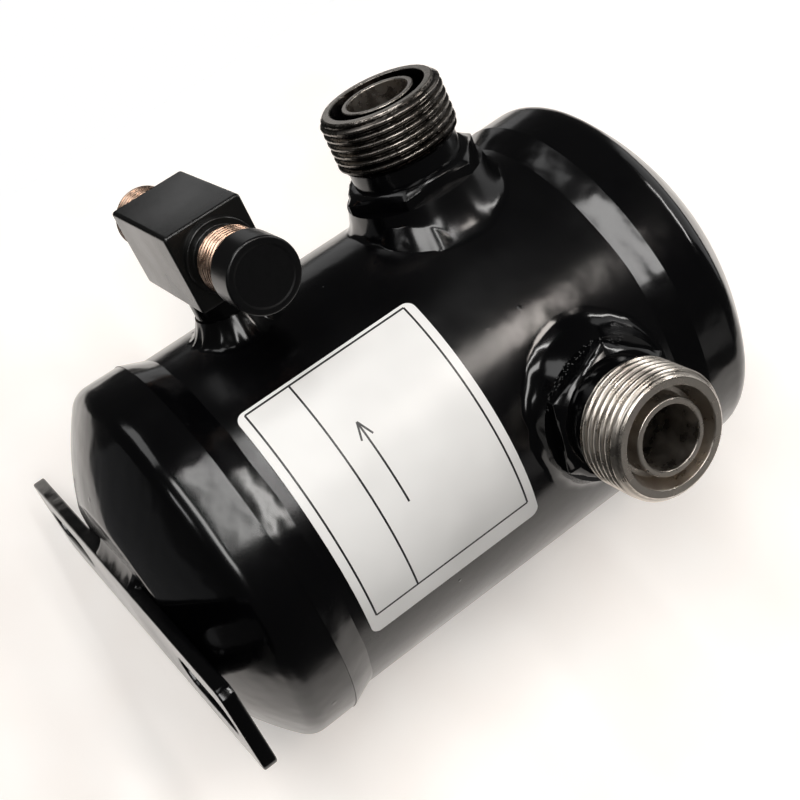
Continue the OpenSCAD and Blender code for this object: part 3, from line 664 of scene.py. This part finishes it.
inletBead = filletGrid(fillets["inlet"], 0)
inletBalls = spatterBalls(fillets["inlet"]["reach"])
inletPatches = [(toInlet(inletBead, vessel["portZ"]), True, True, 0)]
inletPatches += [(toInlet(ball, vessel["portZ"]), False, True, 0) for ball in inletBalls]
makePiece("inletFillet", inletPatches, [enamelWeld], "vessel", ["inlet_weld"])
makePiece("neckFillet", [(toOutlet(filletGrid(fillets["neck"], 1), vessel["neckZ"]), True, True, 0)],
          [enamelWeld], "vessel", ["neck_weld"])
print("fillets ready")

# oil-return block: square bar with a turned thread at each end, and its cap
block = dict(side=20.2, length=35.5, edge=0.8, mid=72.2, shoulderR=8.8, shoulderL=1.6, rootR=7.0, rootL=2.9,
             threadR=7.9375, pitch=1.411, depth=0.72, near=17.7, far=12.7, boreR=3.5, noseR=4.6, tipR=6.9,
             tipL=2.65, endRound=0.6, endCols=6, edgeSpread=1.3, cornerCols=6, holeHalf=5.0, faceStep=0.3,
             sunk=0.2, boreChamfer=0.4, footRound=0.35, tipRound=0.25, turns=120, rowsPerPitch=14)
# painted shade on the bare ends: darker in the thread roots, towards the block, and more on the far end
stubShade = dict(root=0.7, rootFrom=0.35, rootOver=0.5, foot=0.6, footTo=24.4, footOver=2.5, far=0.3)


def barGrid():
    # a square outline with rounded corners carried along the bar, drawn in over the last bit at each end,
    # and back through the middle as a hidden passage
    b = block
    h = b["side"] / 2
    outline = softCorners([[h, h], [-h, h], [-h, -h], [h, -h]], b["edge"] * b["edgeSpread"],
                          steps=b["cornerCols"])
    q = np.linspace(0, np.pi / 2, b["endCols"])
    e = b["endRound"]
    half = b["length"] / 2
    hole, step = h - b["holeHalf"], e + b["faceStep"]
    inset = np.concatenate([[hole, step], e * (1 - np.sin(q)), [0.0], [0.0], e * (1 - np.sin(q[::-1])),
                            [step, hole]])
    along = np.concatenate([[-half, -half], -half + e * (1 - np.cos(q)), [-half + 2 * e], [half - 2 * e],
                            half - e * (1 - np.cos(q[::-1])), [half, half]])
    p = outline[:, None] * ((h - inset) / h)[None, :, None]
    return np.concatenate([p, np.broadcast_to(along[None, :, None], p.shape[:2] + (1,))], 2)


def stubGrids(length):
    # the end's outline turned about the bar: shoulder, plain run, thread, coned nose, then the drilling
    b = block
    end = b["length"] / 2
    start = end + b["shoulderL"] + b["rootL"]
    tip = start + length
    sunk = end - b["sunk"]
    foot = softCorners([[b["boreR"], sunk], [b["shoulderR"], sunk],
                        [b["shoulderR"], end + b["shoulderL"]], [b["rootR"], end + b["shoulderL"]],
                        [b["rootR"], start]], b["footRound"], closed=False)
    stop = tip - b["tipL"]
    tipLine = softCorners([[b["tipR"], stop], [b["tipR"], tip - (b["tipR"] - b["noseR"])], [b["noseR"], tip],
                           [b["boreR"] + b["boreChamfer"], tip], [b["boreR"], tip - b["boreChamfer"]],
                           [b["boreR"], sunk]], b["tipRound"], closed=False)
    a = np.linspace(0, tau, b["turns"], endpoint=False)[:, None]
    z = np.linspace(start, stop, int(length / b["pitch"] * b["rowsPerPitch"]))[None]
    cut = np.minimum(b["rootR"] + (z - start), b["tipR"] + (stop - z))
    r = np.minimum(b["threadR"] + helix(z, a, b["pitch"], b["depth"]), cut)
    return [spin(foot, b["turns"]), polar(r, a, z), spin(tipLine, b["turns"])]


def alongBar(p, way):
    # the sketch's z axis along the bar: way -1 is the near end, +1 the far end
    return np.stack([-block["mid"] + p[..., 0], way * p[..., 2], vessel["neckZ"] + p[..., 1]], -1)


bar = barGrid()
barPatches = [(alongBar(bar, 1), True, True, 0)]
barAlong, barShade = [np.zeros(bar.shape[:2]).ravel()], [np.zeros(bar.shape[:2]).ravel()]
for way, length in ((-1, block["near"]), (1, block["far"])):
    for part, grid in enumerate(stubGrids(length)):
        # the shoulder is painted with the block, the thread and nose are bare
        barPatches.append((alongBar(grid, way), True, False, min(part, 1)))
        barAlong.append(grid[..., 2].ravel())
        # the film mark is painted shade: darker in the thread roots, near the block and over the whole far end
        dip = (block["threadR"] - np.hypot(grid[..., 0], grid[..., 1])) / block["depth"]
        endShade = stubShade["root"] * smoothStep((dip - stubShade["rootFrom"]) / stubShade["rootOver"])
        endShade += stubShade["foot"] * smoothStep((stubShade["footTo"] - grid[..., 2]) / stubShade["footOver"])
        barShade.append((endShade + (stubShade["far"] if way > 0 else 0.0)).ravel())
makePiece("oilReturnBar", barPatches, [enamelBar, copper], "vessel", ["return_block"],
          sharpAngle=40, marks=dict(along=np.concatenate(barAlong), film=np.concatenate(barShade)))

dustCap = dict(rIn=7.9975, r=8.6975, rim=32.95, floor=40.35, face=41.85, edge=0.9, lipR=7.2, lipRise=0.5,
               sink=0.15, axisR=0.001, faceRound=0.4, lipRound=0.5, rimRound=0.2, floorRound=0.4, edgeCols=6,
               turns=120)


def capEndProfile():
    # a cup: shallow sunk face, raised lip, rounded edge, outside wall, rim, then the inside to the floor
    d = dustCap
    rounds = [0, d["faceRound"], d["lipRound"], d["edge"], d["rimRound"], d["rimRound"], d["floorRound"], 0]
    sunk = d["face"] - d["sink"]
    return softCorners([[d["axisR"], sunk], [d["lipR"] - d["lipRise"], sunk], [d["lipR"], d["face"]],
                        [d["r"], d["face"]], [d["r"], d["rim"]], [d["rIn"], d["rim"]],
                        [d["rIn"], d["floor"]], [d["axisR"], d["floor"]]],
                       rounds, closed=False, steps=d["edgeCols"])


capEnd = spin(capEndProfile(), dustCap["turns"])
makePiece("returnEndCap", [(alongBar(capEnd, -1), True, False, 0)], [softPvc], "cap", ["return_cap"])
print("oil return ready")

# label: a white film sticker with a thin black frame, a rule and a flow arrow printed on it
label = dict(width=64.6, height=50.2, low=39.5, turn=251.0, corner=2.4, inner=49.05, outer=49.25, ink=49.265,
             inkSunk=0.01, arcRows=9, rows=14, cols=72, strokeRows=40, frameLeft=1.0, frameRight=5.4,
             frameLow=2.4, frameHigh=2.4, rule=14.6, line=0.5, arrowTail=39.0, arrowTip=17.2, arrowZ=21.7,
             barb=4.2, barbRise=1.6)


def wrapped(x, y, low, high):
    # a flat grid of label millimetres bent round the shell as a thin closed sheet between two radii
    a = np.radians(label["turn"]) + (x - label["width"] / 2) / vessel["tubeR"]
    z = label["low"] + y
    top, under = (polar(r, a, z) for r in (high, low))
    loop = np.concatenate([top, under[:, ::-1]], 1)
    ends = [(np.stack([top[k], under[k]]), False, False, 0) for k in (0, -1)]
    return [(loop, False, True, 0)] + ends


def labelGrid():
    # rows go up the label; each row is as wide as the rounded outline there
    q = label
    c = q["corner"]
    edge = c * (1 - np.cos(np.linspace(0, np.pi / 2, q["arcRows"])))
    y = np.concatenate([edge, np.linspace(c, q["height"] - c, q["rows"])[1:-1], q["height"] - edge[::-1]])
    near = np.minimum(y, q["height"] - y)
    draw = np.where(near < c, c - np.sqrt(np.clip(c * c - (c - near) ** 2, 0, None)), 0)[:, None]
    x = draw + (q["width"] - 2 * draw) * np.linspace(0, 1, q["cols"])[None]
    return x, y[:, None] + 0 * x


def stroke(start, end):
    # a straight printed line: points from start to end, half a line width to each side
    start, end = np.array(start), np.array(end)
    way = (end - start) / np.linalg.norm(end - start)
    t = np.linspace(0, 1, label["strokeRows"])[:, None, None]
    side = np.array([-1, 1])[None, :, None] * np.array([-way[1], way[0]]) * label["line"] / 2
    p = start + (end - start) * t + side
    return p[..., 0], p[..., 1]


makePiece("flowLabel", wrapped(*labelGrid(), label["inner"], label["outer"]), [film], "vessel", ["label"],
          sharpAngle=50)
x0, x1 = label["frameLeft"], label["width"] - label["frameRight"]
y0, y1 = label["frameLow"], label["height"] - label["frameHigh"]
tip = (label["arrowTip"], label["arrowZ"])
barbX, barbRise = label["arrowTip"] + label["barb"], label["barbRise"]
lines = [((x0, y0), (x1, y0)), ((x0, y1), (x1, y1)), ((x0, y0), (x0, y1)), ((x1, y0), (x1, y1)),
         ((x0, label["rule"]), (x1, label["rule"])), (tip, (label["arrowTail"], label["arrowZ"])),
         (tip, (barbX, label["arrowZ"] + barbRise)), (tip, (barbX, label["arrowZ"] - barbRise))]
inkLow = label["outer"] - label["inkSunk"]
printPatches = [patch for line in lines for patch in wrapped(*stroke(*line), inkLow, label["ink"])]
makePiece("labelPrint", printPatches, [ink], "vessel")
print("label ready")

# materials for the solids that stay
nodeLooks = {"shell_tube": enamelShell, "oil_return_neck": enamel, "inlet_screen": sheetSteel,
             "outlet_screen": sheetSteel, "sump_baffle": sheetSteel, "pivot_bracket": sheetSteel,
             "float_arm": sheetSteel, "float_ball": sheetSteel, "valve_body": valveBrass,
             "pivot_pin": innerSteel, "needle": innerSteel}
for nodeName, material in nodeLooks.items():
    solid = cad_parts[nodeName]
    solid.data.materials.clear()
    solid.data.materials.append(material)
print("solids dressed")

# camera at the photograph's viewing angle
view = dict(place=(-0.19249, -0.32615, -0.02155), right=(0.385891, -0.480949, 0.787259),
            up=(-0.788096, 0.271752, 0.552319), back=(-0.479576, -0.83357, -0.274167), lens=67.80,
            sensor=36.0, near=0.01)
camera = bpy.data.cameras.new("photoCamera")
camera.lens, camera.sensor_width, camera.clip_start = view["lens"], view["sensor"], view["near"]
eye = bpy.data.objects.new("photoCamera", camera)
basis = Matrix((view["right"], view["up"], view["back"])).transposed().to_4x4()
eye.matrix_world = Matrix.Translation(view["place"]) @ basis
bpy.context.scene.collection.objects.link(eye)
bpy.context.scene.camera = eye

# the vessel lies on its side on the table in the main view: the table touches the caps behind it
table = dict(normal=(-0.78, -0.626, 0.0), gap=0.0518, paper="#f5efea", fleck="#f9f5f1", fibreMm=25.0,
             across=(-0.2, 0.16), along=(-0.07, 0.33), lift=0.28, midZ=0.085)
ground = dict(half=6.0, drop=0.0002, lift=0.75)
dome = dict(radius=9.0, rows=24, cols=48)
normal = Vector(table["normal"]).normalized()
across = normal.cross(Vector((0, 0, 1))).normalized()
middle = Vector((0, 0, table["midZ"]))


def paperSheet(name, corners, lift):
    # a flat sheet of matt paper, white with faint warm flecks, which glows a little where it is seen and shows
    # from its front only, so that a view from behind it isn't blocked
    mesh = bpy.data.meshes.new(name)
    mesh.from_pydata([tuple(c) for c in corners], [], [(0, 1, 2, 3)])
    material, tree, shader, place = newMaterial(name + "Paper")
    fibre = addNode(tree, "ShaderNodeTexNoise",
                    {"Vector": place, "Scale": 1000 / table["fibreMm"], "Detail": 4.0})
    tone = addNode(tree, "ShaderNodeValToRGB", {"Fac": fibre.outputs["Fac"]},
                   stops=[(0.3, table["paper"]), (0.7, table["fleck"])])
    tree.links.new(tone.outputs["Color"], shader.inputs["Base Color"])
    shader.inputs["Roughness"].default_value = 0.8
    shader.inputs["Specular IOR Level"].default_value = 0.1
    path = addNode(tree, "ShaderNodeLightPath")
    seen = addNode(tree, "ShaderNodeMath",
                   {0: path.outputs["Is Camera Ray"], 1: path.outputs["Is Glossy Ray"]}, operation="MAXIMUM")
    seen = addNode(tree, "ShaderNodeMath", {0: seen.outputs[0], 1: path.outputs["Is Transmission Ray"]},
                   operation="MAXIMUM")
    glow = addNode(tree, "ShaderNodeMath", {0: seen.outputs[0], 1: lift}, operation="MULTIPLY")
    tree.links.new(tone.outputs["Color"], shader.inputs["Emission Color"])
    tree.links.new(glow.outputs[0], shader.inputs["Emission Strength"])
    side = addNode(tree, "ShaderNodeNewGeometry")
    clear = addNode(tree, "ShaderNodeBsdfTransparent")
    pick = addNode(tree, "ShaderNodeMixShader", {0: side.outputs["Backfacing"], 1: shader.outputs[0],
                                                 2: clear.outputs[0]})
    tree.links.new(pick.outputs[0], tree.nodes["Material Output"].inputs["Surface"])
    mesh.materials.append(material)
    sheet = bpy.data.objects.new(name, mesh)
    bpy.context.scene.collection.objects.link(sheet)
    sheet.visible_shadow = False
    return sheet


foot = -normal * table["gap"]
(a0, a1), (z0, z1) = table["across"], table["along"]
tableCorners = ((a0, z1), (a1, z1), (a1, z0), (a0, z0))
tableSheet = paperSheet("tableSheet", [foot + across * a + Vector((0, 0, z)) for a, z in tableCorners],
                        table["lift"])
tableSheet.visible_diffuse = False
h = ground["half"]
floorSheet = paperSheet("floorSheet", [Vector((h * i, h * j, -ground["drop"])) for i, j in
                                       ((-1, -1), (1, -1), (1, 1), (-1, 1))], ground["lift"])
floorSheet.visible_glossy = floorSheet.visible_diffuse = False

# white paper dome far round the stage, the backdrop behind the floor
domeGrid = dome["radius"] * ballGrid(dome["rows"], dome["cols"])
domeMesh = bpy.data.meshes.new("backdropDome")
domeMesh.from_pydata(domeGrid.reshape(-1, 3).tolist(), [],
                     gridFaces(dome["rows"], dome["cols"], False, True, 0).tolist())
domePaper, _, domeShader, _ = newMaterial("backdropPaper")
domeShader.inputs["Base Color"].default_value = (0, 0, 0, 1)
domeShader.inputs["Emission Color"].default_value = linear("#ffffff")
domeShader.inputs["Emission Strength"].default_value = 1.0
domeMesh.materials.append(domePaper)
backdrop = bpy.data.objects.new("backdropDome", domeMesh)
bpy.context.scene.collection.objects.link(backdrop)
backdrop.visible_shadow = backdrop.visible_glossy = backdrop.visible_diffuse = False

# a lamp's way is (off the table, along the table, up the vessel), its size (along the table, the other way);
# what it doesn't state is as in the plain lamp
plainLamp = dict(far=1.0, tint=(1.0, 1.0, 1.0))
lamps = dict(
    stripLow=dict(way=(0.97, -0.12, -0.235), size=(1.1, 0.2), watts=5.6, tint=(1.0, 0.99, 0.975)),
    stripHigh=dict(way=(0.98, -0.04, 0.13), size=(0.94, 0.035), watts=2.5, tint=(1.0, 0.99, 0.975)),
    key=dict(way=(0.6, 0.75, -0.25), size=(0.5, 0.35), watts=1.0),
    side=dict(way=(-0.27, 0.9, 0.33), size=(0.4, 0.25), watts=0.14),
    face=dict(way=(0.02, -0.92, 0.4), size=(0.3, 0.3), watts=0.09, tint=(1.0, 0.97, 0.94)),
    under=dict(way=(0.66, 0.16, -0.74), size=(0.26, 0.1), watts=0.42),
    low=dict(way=(-0.5, 0.3, -0.8), size=(0.9, 0.9), watts=0.25, tint=(0.96, 0.97, 1.0)),
    high=dict(way=(0.62, -0.13, 0.76), size=(0.56, 0.07), watts=2.1, tint=(1.0, 0.985, 0.96)),
    warm=dict(way=(0.9, -0.285, 0.33), size=(0.22, 0.11), watts=1.12, tint=(1.0, 0.93, 0.87)),
    top=dict(way=(0.15, 0.1, 1.0), far=1.2, size=(1.0, 1.0), watts=2.0),
    rear=dict(way=(-0.9, 0.35, 0.27), far=1.1, size=(0.9, 0.5), watts=3.6))
for name, own in lamps.items():
    lamp = dict(plainLamp, **own)
    way = (normal * lamp["way"][0] + across * lamp["way"][1] + Vector((0, 0, lamp["way"][2]))).normalized()
    data = bpy.data.lights.new(name + "Lamp", "AREA")
    data.shape, data.size, data.size_y = "RECTANGLE", lamp["size"][0], lamp["size"][1]
    data.energy, data.color = lamp["watts"], lamp["tint"]
    bulb = bpy.data.objects.new(name + "Lamp", data)
    sideY = way.cross(across).normalized()
    sideX = sideY.cross(way).normalized()
    turn = Matrix((sideX, sideY, way)).transposed().to_4x4()
    bulb.matrix_world = Matrix.Translation(middle + way * lamp["far"]) @ turn
    bpy.context.scene.collection.objects.link(bulb)

room = dict(tone="#f2f1ef", strength=0.04)
world = bpy.data.worlds.new("room")
world.use_nodes = True
world.node_tree.nodes["Background"].inputs["Color"].default_value = linear(room["tone"])
world.node_tree.nodes["Background"].inputs["Strength"].default_value = room["strength"]
bpy.context.scene.world = world
bpy.context.scene.view_settings.view_transform = "Standard"
print("stage ready")
